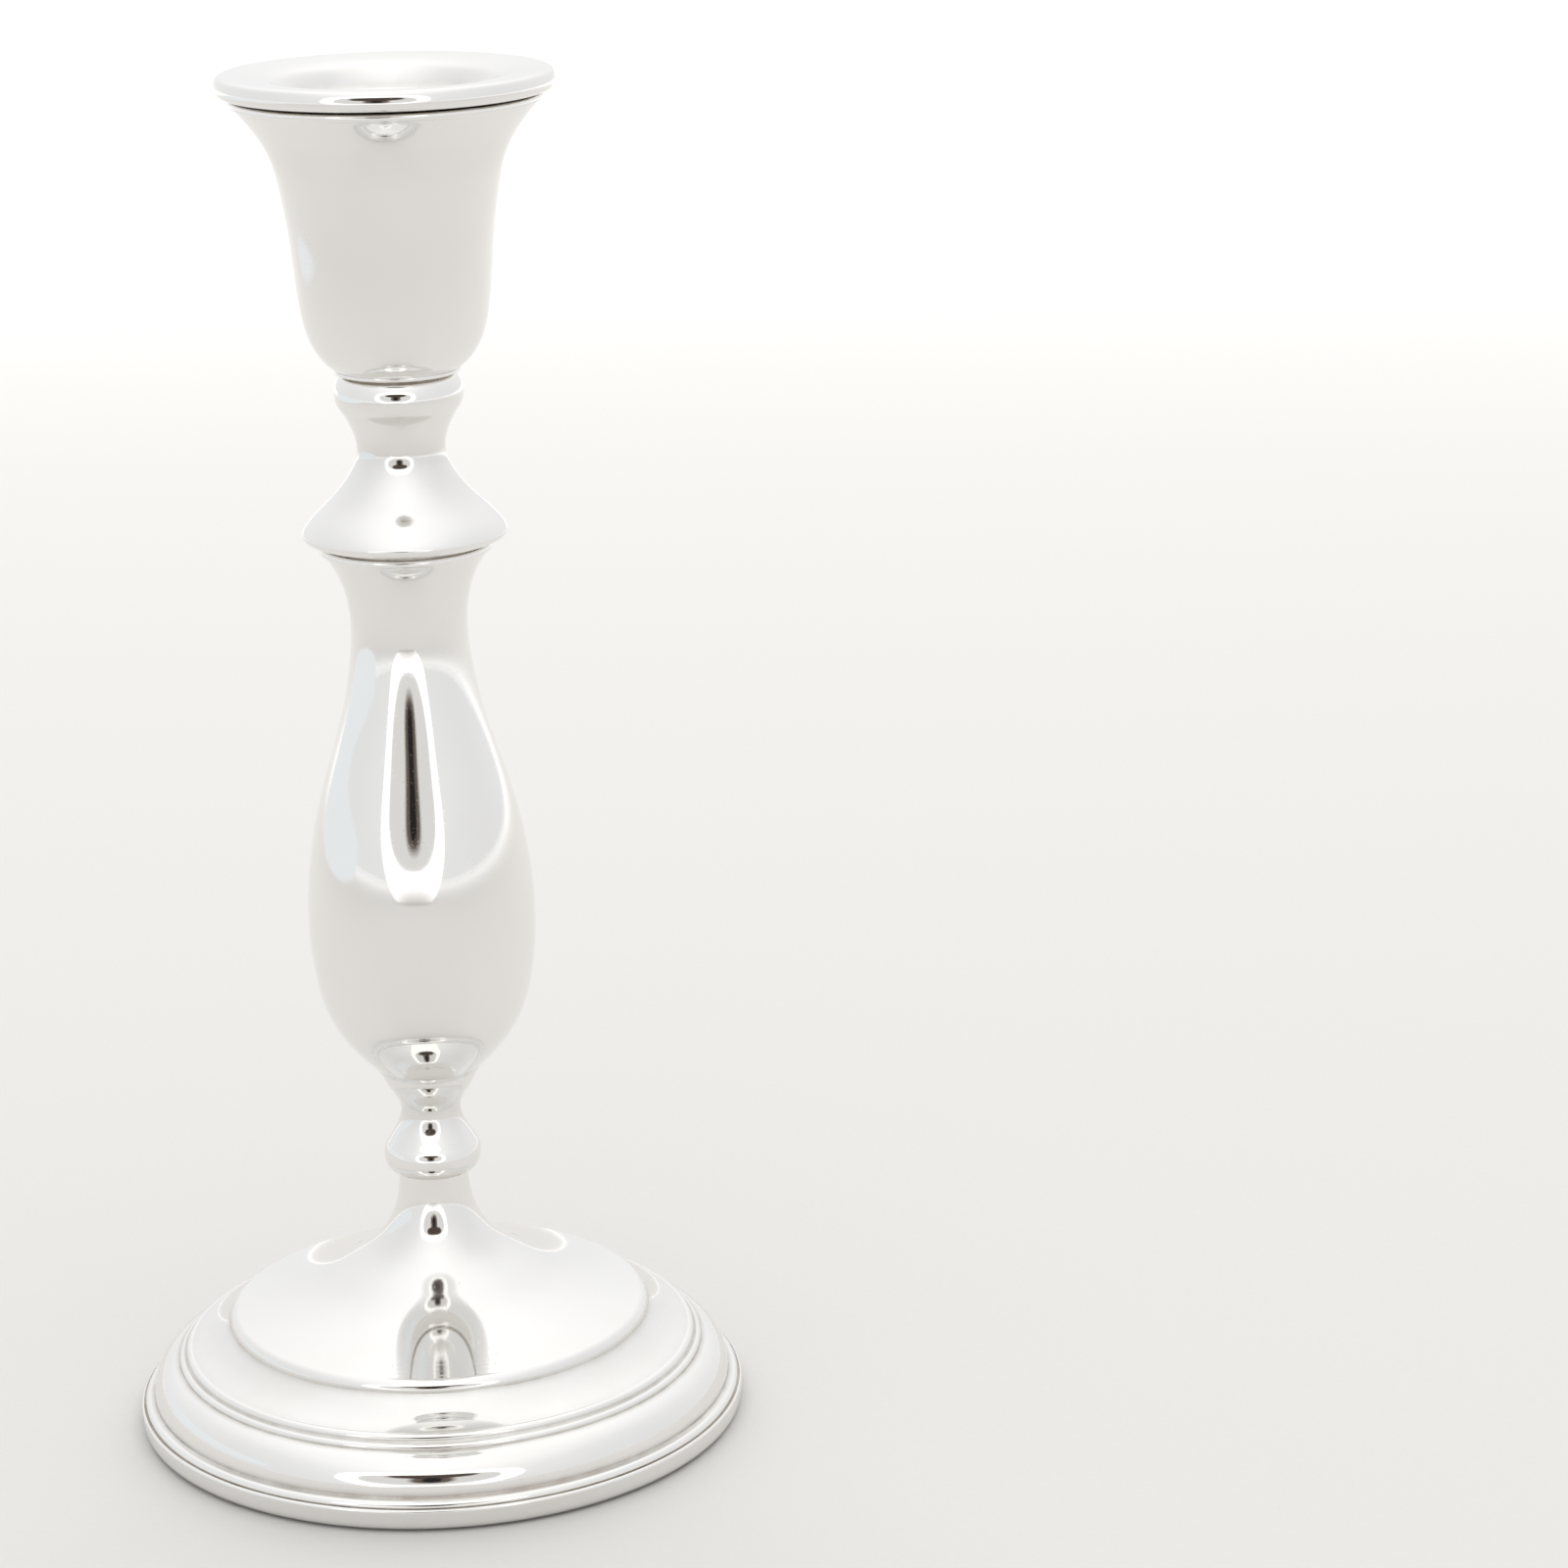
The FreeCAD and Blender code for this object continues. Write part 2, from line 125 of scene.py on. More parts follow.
def bead_outline(controls, top_z, bulge):
    """Wire round the mouth of a shell: its round outer side, and the corners that close it inside."""
    outer_end, inner_end = controls[0], inset(controls)[0]
    crown_r = outer_end[0] + 0.2
    crown = arc(outer_end, (outer_end[0] + bulge, (outer_end[1] + top_z) / 2), (crown_r, top_z), 14)
    return crown, [(inner_end[0] + 0.2, top_z), inner_end]


# Turning an outline into a mesh ------------------------------------------------------------------
SAME_POINT = 1e-4                      # points nearer than this are one
ON_AXIS = 1e-6
SHARP_CORNER = math.radians(14)        # a corner that turns more than this is rounded off
LONG_EDGE = 1.0                        # an edge longer than this is divided
EDGE_LOOP = 0.2                        # distance from its ends of the first and last division
FULL_CREASE = math.radians(50)         # a corner that turns inwards by this or more is a full crease
WIDE_R = 15.0                          # from this radius out, a piece is as far out of true as it gets


def enclosed(points):
    """Area inside a closed outline, above 0 if it runs anticlockwise."""
    after = np.roll(points, -1, axis=0)
    return 0.5 * float(np.sum(points[:, 0] * after[:, 1] - after[:, 0] * points[:, 1]))


def eased(outline, marks, radius, step):
    """A closed outline with its corners rounded off and its long stretches divided.

    marks has one entry for each edge, and is carried along with the edges that come from it."""
    n = len(outline)
    pts = np.array(outline, float)
    edge = np.roll(pts, -1, axis=0) - pts
    length = np.linalg.norm(edge, axis=1)
    unit = edge / length[:, None]
    made, made_marks = [], []
    for i in range(n):
        before, after = unit[i - 1], unit[i]
        turn = math.acos(max(-1.0, min(1.0, float(before @ after))))
        if turn < SHARP_CORNER or pts[i][0] < ON_AXIS:
            made.append(pts[i])
            made_marks.append(marks[i])
            continue
        d = min(radius, 0.45 * length[i - 1], 0.45 * length[i])
        a, b = pts[i] - d * before, pts[i] + d * after
        for t in (0, 0.25, 0.5, 0.75, 1):
            made.append((1 - t) ** 2 * a + 2 * t * (1 - t) * pts[i] + t**2 * b)
            made_marks.append(marks[i - 1] if t < 0.5 else marks[i])
    points, kept = [], []
    for i, p in enumerate(made):
        q = made[(i + 1) % len(made)]
        span = float(np.linalg.norm(q - p))
        stops = [0.0]
        if span > LONG_EDGE:
            near = EDGE_LOOP / span
            inner = max(1, math.ceil((span - 2 * EDGE_LOOP) / step))
            stops += [near + (1 - 2 * near) * k / inner for k in range(inner + 1)]
        for t in stops:
            points.append(p + (q - p) * t)
            kept.append(made_marks[i])
    return np.array(points), kept


def hollowness(points, reach=0.55):
    """How far each point of an outline sits down in a crease, from 0 to 1."""
    n = len(points)
    out = np.zeros(n)
    side = 1 if enclosed(points) > 0 else -1
    for i in range(n):
        ends = []
        for direction in (-1, 1):
            j, gone = i, 0.0
            while gone < reach:
                k = (j + direction) % n
                gone += float(np.linalg.norm(points[k] - points[j]))
                j = k
            ends.append(points[j] - points[i])
        a, b = ends
        cross = float(b[0] * a[1] - b[1] * a[0]) * side
        cosine = float(a @ b) / float(np.linalg.norm(a) * np.linalg.norm(b) + 1e-12)
        bend = math.pi - math.acos(max(-1.0, min(1.0, cosine)))
        out[i] = max(0.0, min(1.0, bend / FULL_CREASE)) if cross < 0 else 0.0
    return np.convolve(np.concatenate([out[-2:], out, out[:2]]), [0.1, 0.2, 0.4, 0.2, 0.1], "valid")


def cleaned(outer, inner):
    """Both parts of an outline as one, without repeated points, and each edge's mark: 0 outer, 1 inner."""
    outline, marks = list(outer) + list(inner), [0] * (len(outer) - 1) + [1] * (len(inner) + 1)
    clean, clean_marks = [], []
    for p, m in zip(outline, marks):
        if clean and math.dist(clean[-1], p) < SAME_POINT:
            clean_marks[-1] = m
            continue
        clean.append(p)
        clean_marks.append(m)
    if math.dist(clean[0], clean[-1]) < SAME_POINT:
        clean.pop()
        clean_marks.pop()
    return clean, clean_marks


def swept(points, segments, wobble, rng):
    """Vertices of an outline turned about the axis, row by row, out of true by about the wobble."""
    waves = [
        (int(rng.integers(2, 9)), rng.uniform(0.04, 0.22), rng.uniform(0, 6.28), rng.uniform(0.3, 1))
        for _ in range(6)
    ]
    theta = np.arange(segments) * 2 * math.pi / segments
    verts, rows = [], []
    for r, z in points:
        if r < ON_AXIS:
            rows.append([len(verts)] * segments)
            verts.append((0.0, 0.0, z * MM))
            continue
        lift = sum(w * np.sin(k * theta + f * z + p) for k, f, p, w in waves) / 3
        rr = (r + wobble * lift * min(1.0, r / WIDE_R)) * MM
        rows.append(list(range(len(verts), len(verts) + segments)))
        verts.extend(zip(rr * np.cos(theta), rr * np.sin(theta), np.full(segments, z * MM)))
    return verts, rows


def turned(name, body, outer, inner, segments=192, radius=0.12, step=0.9, wobble=0.012):
    """Closed piece of revolution: outer is the polished part of its outline, inner the part out of sight.

    Its corners are rounded to the radius, its long edges divided at the step, and wobble is how far it is
    out of true, as thin spun sheet is."""
    points, marks = eased(*cleaned(outer, inner), radius, step)
    crease = hollowness(points)
    verts, rows = swept(points, segments, wobble, np.random.default_rng(len(name)))
    faces, materials = [], []
    for i in range(len(rows)):
        a, b = rows[i], rows[(i + 1) % len(rows)]
        for k in range(segments):
            n = (k + 1) % segments
            corners = [a[k], a[n], b[n], b[k]]
            corners = [c for j, c in enumerate(corners) if c not in corners[:j]]
            if len(corners) > 2:
                faces.append(corners)
                materials.append(marks[i])
    mesh = bpy.data.meshes.new(name)
    mesh.from_pydata(verts, [], faces)
    mesh.polygons.foreach_set("use_smooth", [True] * len(faces))
    mesh.polygons.foreach_set("material_index", materials)
    layer = mesh.attributes.new("crease", "FLOAT", "POINT")
    values = np.zeros(len(verts), np.float32)
    for row, c in zip(rows, crease):
        values[row] = c
    layer.data.foreach_set("value", values)
    mesh.update()
    if enclosed(points) < 0:
        mesh.flip_normals()
    obj = bpy.data.objects.new(name, mesh)
    bpy.context.scene.collection.objects.link(obj)
    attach(obj, body)
    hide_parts(name.removesuffix("_look"))
    return obj


# Materials ---------------------------------------------------------------------------------------
class Nodes:
    """A node tree, built one node at a time."""

    def __init__(self, tree):
        self.tree = tree

    def node(self, kind, inputs=None, **settings):
        n = self.tree.nodes.new("ShaderNode" + kind)
        for key, value in settings.items():
            setattr(n, key, value)
        for key, value in (inputs or {}).items():
            self.put(n.inputs[key], value)
        return n

    def put(self, socket, value):
        if isinstance(value, bpy.types.NodeSocket):
            self.tree.links.new(value, socket)
        else:
            socket.default_value = value

    def math(self, operation, a, b=0.0, clamp=False):
        n = self.node("Math", {0: a, 1: b}, operation=operation, use_clamp=clamp)
        return n.outputs[0]

    def noise(self, vector, scale, detail=2.0, roughness=0.5):
        inputs = {"Vector": vector, "Scale": scale, "Detail": detail, "Roughness": roughness}
        return self.node("TexNoise", inputs).outputs["Fac"]

    def ramp(self, fac, low, high, start=0.0, end=1.0):
        inputs = {"Value": fac, "From Min": low, "From Max": high, "To Min": start, "To Max": end}
        return self.node("MapRange", inputs).outputs[0]

    def mix(self, fac, a, b):
        n = self.node("Mix", data_type="RGBA")
        self.put(n.inputs[0], fac)
        self.put(n.inputs[6], a)
        self.put(n.inputs[7], b)
        return n.outputs[2]

    def place(self):
        return self.node("TexCoord").outputs["Object"]

    def stretched(self, place, turn, scale):
        return self.node("Mapping", {"Vector": place, "Rotation": turn, "Scale": scale}).outputs[0]

    def bump(self, height, strength, distance):
        return self.node("Bump", {"Height": height, "Strength": strength, "Distance": distance}).outputs[0]


class Shader(Nodes):
    """A material round one principled shader."""

    def __init__(self, name):
        self.material = bpy.data.materials.new(name)
        self.material.use_nodes = True
        super().__init__(self.material.node_tree)
        self.bsdf = self.tree.nodes["Principled BSDF"]


def around_axis(s, place):
    """Coordinates round the stick, out from it and along it: a lathe leaves its marks along the first."""
    x, y, z = s.node("SeparateXYZ", {"Vector": place}).outputs
    angle = s.math("ARCTAN2", y, x)
    radius = s.math("SQRT", s.math("ADD", s.math("MULTIPLY", x, x), s.math("MULTIPLY", y, y)))
    return s.node("CombineXYZ", {"X": angle, "Y": radius, "Z": z}).outputs[0]


def silver(name, tint=(0.865, 0.858, 0.842), roughness=0.045, tarnish_and_shade=1.0, spots=()):
    """Polished silver: lathe marks, fine scratches, a faint uneven tone, and darkening down in its creases
    that is partly tarnished silver, partly painted shade.
    """
    s = Shader(name)
    place = s.place()
    turning = around_axis(s, place)
    lathe = s.noise(s.stretched(turning, (0, 0, 0), (2.0, 2600.0, 2600.0)), 1.0, 2.0, 0.6)
    cloud = s.noise(place, 55.0, 3.0, 0.55)
    bloom = s.noise(place, 210.0, 4.0, 0.6)
    scratches = None
    for i, turn in enumerate(((0.4, 0.9, 0.2), (1.3, 0.2, 0.8), (0.7, 1.5, 1.9), (2.1, 0.6, 1.1))):
        line = s.noise(s.stretched(place, turn, (2600.0, 95.0, 2300.0)), 1.0, 0.0, 0.0)
        line = s.ramp(line, 0.735 + 0.01 * i, 0.80)
        where = s.ramp(s.noise(s.stretched(place, turn, (60.0, 60.0, 60.0)), 1.0, 1.0), 0.5, 0.62)
        line = s.math("MULTIPLY", line, where)
        scratches = line if scratches is None else s.math("MAXIMUM", scratches, line)
    # Darkening in the creases: partly tarnished silver, partly painted shade.
    crease = s.node("Attribute", attribute_name="crease").outputs["Fac"]
    crease_tarnish_and_shade = s.math("MULTIPLY", crease, s.ramp(bloom, 0.3, 0.7, 0.55, 1.0))
    crease_tarnish_and_shade = s.math("MULTIPLY", crease_tarnish_and_shade, 0.75 * tarnish_and_shade, clamp=True)
    veil = s.ramp(cloud, 0.42, 0.75, 0.0, 0.16 * tarnish_and_shade)
    colour = s.mix(veil, (*tint, 1), (tint[0] * 0.93, tint[1] * 0.89, tint[2] * 0.81, 1))
    colour = s.mix(crease_tarnish_and_shade, colour, (0.30, 0.25, 0.20, 1))
    rough = s.math("ADD", s.ramp(cloud, 0.3, 0.75, roughness * 0.8, roughness * 1.35),
                   s.math("MULTIPLY", scratches, 0.12))
    rough = s.math("ADD", rough, s.math("MULTIPLY", crease_tarnish_and_shade, 0.28))
    for centre, size in spots:
        offset = s.node("VectorMath", {0: place, 1: centre}, operation="DISTANCE").outputs["Value"]
        uneven = s.math("ADD", offset, s.ramp(bloom, 0.3, 0.7, -0.3 * size, 0.3 * size))
        mark = s.ramp(uneven, size, 0.6 * size)
        colour = s.mix(mark, colour, (0.05, 0.045, 0.04, 1))
        rough = s.math("ADD", rough, s.math("MULTIPLY", mark, 0.5))
    s.put(s.bsdf.inputs["Base Color"], colour)
    s.put(s.bsdf.inputs["Roughness"], rough)
    s.bsdf.inputs["Metallic"].default_value = 1.0
    height = s.math("SUBTRACT", s.math("MULTIPLY", lathe, 0.35), scratches)
    s.put(s.bsdf.inputs["Normal"], s.bump(height, 0.05, 0.00004))
    return s.material


def dull_silver(name):
    """Unpolished inside faces: greyed and browned as tarnished silver is, and darkened as painted shade where
    they show in gaps, with coarse turning marks.
    """
    s = Shader(name)
    place = s.place()
    turning = around_axis(s, place)
    lathe = s.noise(s.stretched(turning, (0, 0, 0), (1.5, 1500.0, 1500.0)), 1.0, 3.0, 0.6)
    cloud = s.noise(place, 90.0, 4.0, 0.6)
    patches = s.noise(place, 300.0, 4.0, 0.65)
    # Dark greys and browns: tarnished silver, darkened further as painted shade for the gaps these faces show
    # in.
    colour = s.mix(s.ramp(cloud, 0.35, 0.7), (0.52, 0.49, 0.45, 1), (0.33, 0.28, 0.22, 1))
    colour = s.mix(s.ramp(patches, 0.55, 0.75, 0.0, 0.6), colour, (0.17, 0.14, 0.13, 1))
    s.put(s.bsdf.inputs["Base Color"], colour)
    s.put(s.bsdf.inputs["Roughness"], s.ramp(patches, 0.3, 0.7, 0.26, 0.5))
    s.bsdf.inputs["Metallic"].default_value = 1.0
    s.put(s.bsdf.inputs["Normal"], s.bump(lathe, 0.25, 0.00008))
    return s.material


def felt(name):
    """Green baize: matted wool fibres running every way, worn a little paler in patches."""
    s = Shader(name)
    place = s.place()
    fibres = None
    for turn in ((0.0, 0.0, 0.3), (0.0, 0.0, 1.2), (0.0, 0.0, 2.2), (0.0, 0.0, 2.9)):
        strand = s.noise(s.stretched(place, turn, (4200.0, 520.0, 1500.0)), 1.0, 2.0, 0.6)
        fibres = strand if fibres is None else s.math("MAXIMUM", fibres, strand)
    clumps = s.noise(place, 900.0, 4.0, 0.65)
    wear = s.noise(place, 70.0, 3.0, 0.5)
    colour = s.mix(s.ramp(fibres, 0.45, 0.8), (0.012, 0.040, 0.025, 1), (0.055, 0.150, 0.095, 1))
    colour = s.mix(s.ramp(clumps, 0.5, 0.75, 0.0, 0.5), colour, (0.035, 0.085, 0.055, 1))
    colour = s.mix(s.ramp(wear, 0.52, 0.72, 0.0, 0.35), colour, (0.105, 0.165, 0.12, 1))
    s.put(s.bsdf.inputs["Base Color"], colour)
    s.put(s.bsdf.inputs["Roughness"], s.ramp(clumps, 0.3, 0.7, 0.86, 0.98))
    s.bsdf.inputs["Sheen Weight"].default_value = 0.5
    s.bsdf.inputs["Sheen Roughness"].default_value = 0.5
    s.bsdf.inputs["Sheen Tint"].default_value = (0.45, 0.62, 0.5, 1)
    s.bsdf.inputs["Specular IOR Level"].default_value = 0.15
    height = s.math("ADD", fibres, s.math("MULTIPLY", clumps, 0.7))
    s.put(s.bsdf.inputs["Normal"], s.bump(height, 0.9, 0.0004))
    return s.material


def steel(name):
    """Machined steel of the rod, its nuts and washers, with a little surface rust."""
    s = Shader(name)
    place = s.place()
    turning = around_axis(s, place)
    marks = s.noise(s.stretched(turning, (0, 0, 0), (3.0, 2500.0, 2500.0)), 1.0, 2.0, 0.6)
    rust = s.noise(place, 260.0, 5.0, 0.65)
    colour = s.mix(s.ramp(rust, 0.55, 0.72, 0.0, 0.8), (0.50, 0.50, 0.51, 1), (0.20, 0.10, 0.05, 1))
    s.put(s.bsdf.inputs["Base Color"], colour)
    s.put(s.bsdf.inputs["Roughness"], s.ramp(rust, 0.4, 0.75, 0.32, 0.75))
    s.put(s.bsdf.inputs["Metallic"], s.ramp(rust, 0.55, 0.75, 1.0, 0.3))
    s.put(s.bsdf.inputs["Normal"], s.bump(marks, 0.2, 0.00008))
    return s.material


def resin(name):
    """Dark cast filler with fine grit and bubbles."""
    s = Shader(name)
    place = s.place()
    grit = s.noise(place, 900.0, 4.0, 0.7)
    flow = s.noise(place, 60.0, 3.0, 0.5)
    bubbles = s.node("TexVoronoi", {"Vector": place, "Scale": 420.0}).outputs["Distance"]
    colour = s.mix(s.ramp(flow, 0.35, 0.7), (0.12, 0.075, 0.045, 1), (0.20, 0.14, 0.09, 1))
    colour = s.mix(s.ramp(grit, 0.6, 0.75, 0.0, 0.7), colour, (0.33, 0.27, 0.20, 1))
    s.put(s.bsdf.inputs["Base Color"], colour)
    s.put(s.bsdf.inputs["Roughness"], s.ramp(grit, 0.3, 0.7, 0.45, 0.8))
    pitted = s.math("SUBTRACT", grit, s.ramp(bubbles, 0.25, 0.0))
    s.put(s.bsdf.inputs["Normal"], s.bump(pitted, 0.5, 0.0003))
    return s.material


def sheet_steel(name):
    """Greyed closing plate with rolling marks and glue stains."""
    s = Shader(name)
    place = s.place()
    rolled = s.noise(s.stretched(place, (0, 0, 0.2), (40.0, 1800.0, 400.0)), 1.0, 3.0, 0.6)
    stains = s.noise(place, 120.0, 5.0, 0.6)
    colour = s.mix(s.ramp(stains, 0.45, 0.7), (0.43, 0.42, 0.41, 1), (0.24, 0.20, 0.15, 1))
    s.put(s.bsdf.inputs["Base Color"], colour)
    s.put(s.bsdf.inputs["Roughness"], s.ramp(stains, 0.3, 0.7, 0.4, 0.7))
    s.bsdf.inputs["Metallic"].default_value = 0.9
    s.put(s.bsdf.inputs["Normal"], s.bump(rolled, 0.25, 0.0001))
    return s.material


# Pieces ------------------------------------------------------------------------------------------
TARNISH_SPECK = ((-0.0072, -0.0130, 0.1065), 0.00032)      # its place on the baluster, and its size

POLISHED = silver("silver_polished")
BALUSTER_SILVER = silver("silver_baluster", spots=(TARNISH_SPECK,))
FOOT_SILVER = silver("silver_foot", roughness=0.05)
PAN_SILVER = silver("silver_pan", roughness=0.055, tarnish_and_shade=1.1)
INSIDE_TARNISH_AND_SHADE = dull_silver("silver_inside_tarnish_and_shade")
FELT = felt("felt_green")


def dressed(obj, *materials):
    for m in materials:
        obj.data.materials.append(m)
    return obj


def nozzle_pan():
    outer, inner = smooth(PAN_CURVE, 90), smooth(PAN_UNDER_CURVE, 60)
    return dressed(turned("nozzle_pan_look", "nozzle", outer, inner, segments=256), PAN_SILVER, INSIDE_TARNISH_AND_SHADE)


def nozzle_tube():
    bottom_z, mouth_z = SOCKET_DEPTH_Z + WALL, PAN_HOLE_Z + 0.4
    crown = ((CANDLE_BORE_R + TUBE_R) / 2, mouth_z + 0.35)
    outer = [(TUBE_R, bottom_z)] + arc((TUBE_R, mouth_z), crown, (CANDLE_BORE_R, mouth_z), 8)
    tube = turned("nozzle_tube_look", "nozzle", outer, [(CANDLE_BORE_R, bottom_z)], wobble=0.0)
    return dressed(tube, PAN_SILVER, INSIDE_TARNISH_AND_SHADE)


def nozzle_floor():
    low, high = SOCKET_DEPTH_Z, SOCKET_DEPTH_Z + WALL
    outer = [(0, low), (TUBE_R, low), (TUBE_R, high), (0, high)]
    return dressed(turned("nozzle_floor_look", "nozzle", outer, [], radius=0.05, wobble=0.0), INSIDE_TARNISH_AND_SHADE, INSIDE_TARNISH_AND_SHADE)


def cup():
    floor_z, floor_r = CUP_BOTTOM_Z + WALL, CUP_FOOT_R - 0.6
    outer = smooth(CUP_CURVE) + [(CUP_FOOT_R, CUP_BOTTOM_Z)]
    inner = [(ROD_HOLE_R, CUP_BOTTOM_Z), (ROD_HOLE_R, floor_z), (floor_r, floor_z)] + inset(CUP_CURVE)[::-1]
    return dressed(turned("cup_look", "stick", outer, inner, segments=224), POLISHED, INSIDE_TARNISH_AND_SHADE)


def cup_rim_wire():
    crown, inner = bead_outline(CUP_CURVE, NOZZLE_LIP_Z - NOZZLE_GAP, 0.65)
    wire = turned("cup_rim_wire_look", "stick", crown, inner, segments=224, radius=0.08)
    return dressed(wire, POLISHED, INSIDE_TARNISH_AND_SHADE)


def cup_foot_ring():
    outer, low = CUP_CURVE[-1], (CUP_FOOT_R + 0.7, CUP_BOTTOM_Z)
    path = arc(outer, (outer[0] + 0.05, CUP_BOTTOM_Z + 0.2), low, 8)
    ring = turned("cup_foot_ring_look", "stick", path, [(CUP_FOOT_R, CUP_BOTTOM_Z)], radius=0.05)
    return dressed(ring, POLISHED, INSIDE_TARNISH_AND_SHADE)


def socket_liner():
    under_z = LINER_FLANGE_Z - WALL
    outer = [
        (LINER_BORE_R, SOCKET_DEPTH_Z), (LINER_BORE_R, LINER_FLANGE_Z), (LINER_FLANGE_R, LINER_FLANGE_Z),
        (LINER_FLANGE_R, under_z),
    ]
    inner = [(LINER_R, under_z), (LINER_R, SOCKET_DEPTH_Z)]
    liner = turned("socket_liner_look", "stick", outer, inner, radius=0.2, wobble=0.0)
    return dressed(liner, INSIDE_TARNISH_AND_SHADE, INSIDE_TARNISH_AND_SHADE)


def socket_floor():
    low, high = SOCKET_DEPTH_Z - WALL, SOCKET_DEPTH_Z
    outer = [(0, low), (LINER_R, low), (LINER_R, high), (0, high)]
    return dressed(turned("socket_floor_look", "stick", outer, [], wobble=0.0, radius=0.05), INSIDE_TARNISH_AND_SHADE, INSIDE_TARNISH_AND_SHADE)


def upper_knop():
    ring_top, crown, flange_lip = (8.7, CUP_BOTTOM_Z), (10.35, 174.6), (14.9, KNOP_BOTTOM_Z)
    top_inner = (8.0, CUP_BOTTOM_Z - WALL)
    inside = inset(KNOP_CURVE)
    ledge_z = KNOP_BOTTOM_Z + WALL
    outer = (
        arc(ring_top, crown, KNOP_CURVE[0], 18)
        + smooth(KNOP_CURVE)[1:]
        + arc(KNOP_CURVE[-1], (16.2, 151.35), flange_lip, 8)[1:]
        + [(KNOP_PLATE_R, KNOP_BOTTOM_Z)]
    )
    inner = (
        [(KNOP_PLATE_R, ledge_z), (inside[-1][0] - 0.7, ledge_z)]
        + inside[::-1]
        + arc(inside[0], (crown[0] - WALL, crown[1]), top_inner)[1:]
        + [(ROD_HOLE_R, top_inner[1]), (ROD_HOLE_R, CUP_BOTTOM_Z)]
    )
    return dressed(turned("upper_knop_look", "stick", outer, inner), POLISHED, INSIDE_TARNISH_AND_SHADE)


def upper_knop_plate():
    ledge_z, rest_r = KNOP_BOTTOM_Z + WALL, BALUSTER_CURVE[0][0]
    outer = [(KNOP_PLATE_R, KNOP_BOTTOM_Z), (rest_r, KNOP_BOTTOM_Z), (rest_r, BALUSTER_MOUTH_Z)]
    inner = [(ROD_HOLE_R, BALUSTER_MOUTH_Z), (ROD_HOLE_R, ledge_z), (KNOP_PLATE_R, ledge_z)]
    return dressed(turned("upper_knop_plate_look", "stick", outer, inner, radius=0.05), INSIDE_TARNISH_AND_SHADE, INSIDE_TARNISH_AND_SHADE)


def baluster():
    floor_z = BALUSTER_BOTTOM_Z + WALL
    outer = smooth(BALUSTER_CURVE) + [(BALUSTER_FOOT_R, BALUSTER_BOTTOM_Z)]
    inner = [(ROD_HOLE_R, BALUSTER_BOTTOM_Z), (ROD_HOLE_R, floor_z), (BALUSTER_FOOT_R - 0.6, floor_z)]
    inner += inset(BALUSTER_CURVE)[::-1]
    return dressed(turned("baluster_look", "stick", outer, inner, segments=224), BALUSTER_SILVER, INSIDE_TARNISH_AND_SHADE)


def baluster_rim_wire():
    crown, inner = bead_outline(BALUSTER_CURVE, BALUSTER_MOUTH_Z, 0.55)
    return dressed(turned("baluster_rim_wire_look", "stick", crown, inner, radius=0.08), POLISHED, INSIDE_TARNISH_AND_SHADE)


def lower_knop():
    groove, crown, foot = (7.3, 48.1), (8.1, 45.6), (6.9, LOWER_KNOP_BOTTOM_Z)
    inside = inset(LOWER_KNOP_CURVE)
    top_z = BALUSTER_BOTTOM_Z
    floor = (foot[0] - WALL, LOWER_KNOP_BOTTOM_Z + WALL)
    outer = (
        [(LOWER_KNOP_CURVE[0][0] + 0.15, top_z)]
        + smooth(LOWER_KNOP_CURVE)
        + arc(groove, crown, foot, 16)
    )
    inner = (
        [(ROD_HOLE_R, LOWER_KNOP_BOTTOM_Z), (ROD_HOLE_R, floor[1])]
        + arc(floor, (crown[0] - WALL, crown[1]), inside[-1])
        + inside[::-1][1:]
        + [(inside[0][0] - 0.3, top_z - WALL), (ROD_HOLE_R, top_z - WALL), (ROD_HOLE_R, top_z)]
    )
    return dressed(turned("lower_knop_look", "stick", outer, inner), POLISHED, INSIDE_TARNISH_AND_SHADE)


def base():
    top_z = LOWER_KNOP_BOTTOM_Z
    trumpet, slope, moulding = inset(TRUMPET_CURVE), inset(FOOT_SLOPE), inset(FOOT_MOULDING)
    lip, groove, ledge = (42.8, 12.5), (43.2, 12.2), (49.1, 5.05)
    outer = (
        [(TRUMPET_CURVE[0][0], top_z)]
        + smooth(TRUMPET_CURVE)
        + arc(TRUMPET_CURVE[-1], (34.9, 18.45), FOOT_SLOPE[0], 8)[1:]
        + smooth(FOOT_SLOPE)[1:]
        + arc(FOOT_SLOPE[-1], (42.6, 13.1), lip, 8)[1:]
        + arc(groove, (43.8, 11.95), FOOT_MOULDING[0], 8)
        + smooth(FOOT_MOULDING, 32)[1:]
        + arc(ledge, (49.85, 4.75), (SHELL_EDGE_R, BAND_TOP_Z), 8)
    )
    inner = (
        [(moulding[-1][0], BAND_TOP_Z)]
        + moulding[::-1] + slope[::-1] + trumpet[::-1]
        + [(TRUMPET_CURVE[0][0] - WALL, top_z - WALL), (ROD_HOLE_R, top_z - WALL), (ROD_HOLE_R, top_z)]
    )
    return dressed(turned("base_look", "stick", outer, inner, segments=232), FOOT_SILVER, INSIDE_TARNISH_AND_SHADE)


def base_edge_band():
    shoulder, lower = (BAND_R, BAND_TOP_Z - 0.4), (BAND_R - 0.1, 1.6)
    top, foot = (BAND_R - 0.35, BAND_TOP_Z), (49.5, BAND_BOTTOM_Z)
    outer = (
        arc(top, (BAND_R - 0.1, BAND_TOP_Z - 0.13), shoulder, 8)
        + arc(lower, (50.35, 0.75), foot, 10)
        + [(PLATE_R, BAND_BOTTOM_Z)]
    )
    band = turned("base_edge_band_look", "stick", outer, [(PLATE_R, BAND_TOP_Z)], segments=232)
    return dressed(band, FOOT_SILVER, INSIDE_TARNISH_AND_SHADE)


